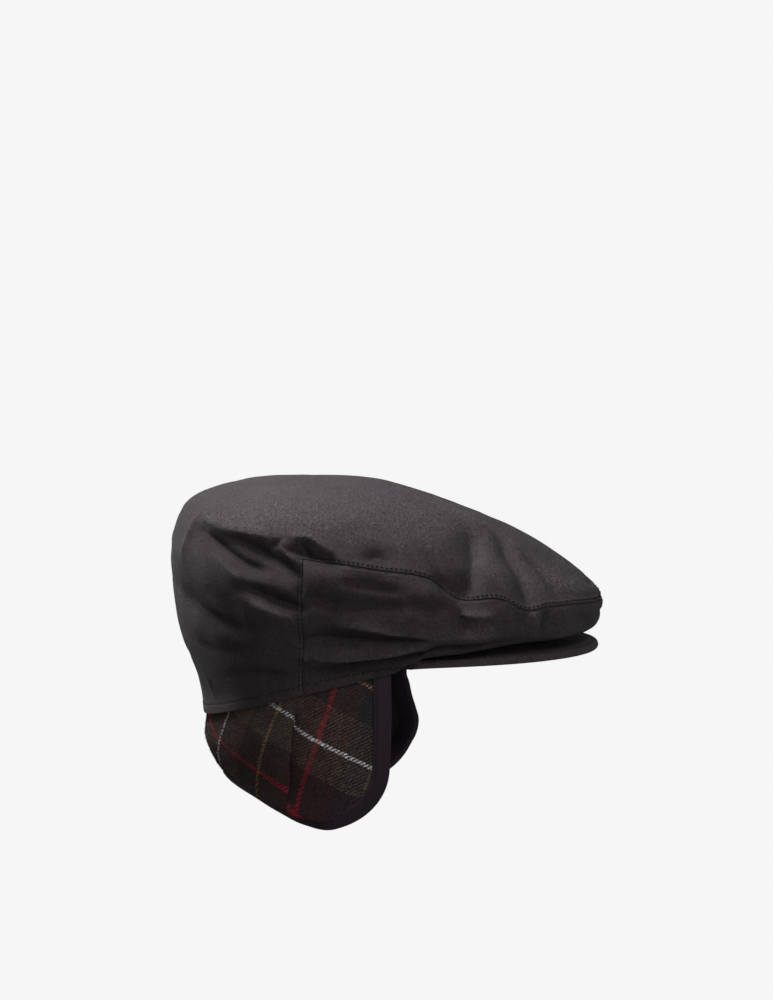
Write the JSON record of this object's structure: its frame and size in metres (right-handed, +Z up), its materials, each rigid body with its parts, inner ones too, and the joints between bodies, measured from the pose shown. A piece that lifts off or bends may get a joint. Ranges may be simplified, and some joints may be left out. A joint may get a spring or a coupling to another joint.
{
  "type": "flat cap with ear and nape flap",
  "caption": "Flat cap of waxed cotton with a short curved peak, a seamed overhanging crown and a woollen check flap folded down over the ears and nape, bound with dark tape.",
  "frame": {"origin": "middle of the head opening, on the wearer's mid-plane, where the cap sits on the head", "axes": "+Z up, +Y towards the wearer's nape, -Y towards the peak, -X the wearer's right side; the cap is tipped as it is worn, peak up"},
  "size_m": [0.1978, 0.2834, 0.2191],
  "materials": {
    "waxed_cotton": "waxed cotton, dark olive brown, mottled with a low sheen",
    "check_wool": "brushed twill wool check in dark green, olive brown, burgundy and navy with thin pale, red and tan lines",
    "lining": "plain black cotton",
    "binding_tape": "fine black navy tape with a folded edge"
  },
  "bodies": {
    "root": {"crown_top_back": "waxed_cotton", "side_panel_right": "waxed_cotton", "side_panel_left": "waxed_cotton", "peak": "waxed_cotton", "flap_tartan": "check_wool", "flap_lining": "lining", "flap_binding": "binding_tape"}
  },
  "joints": []
}
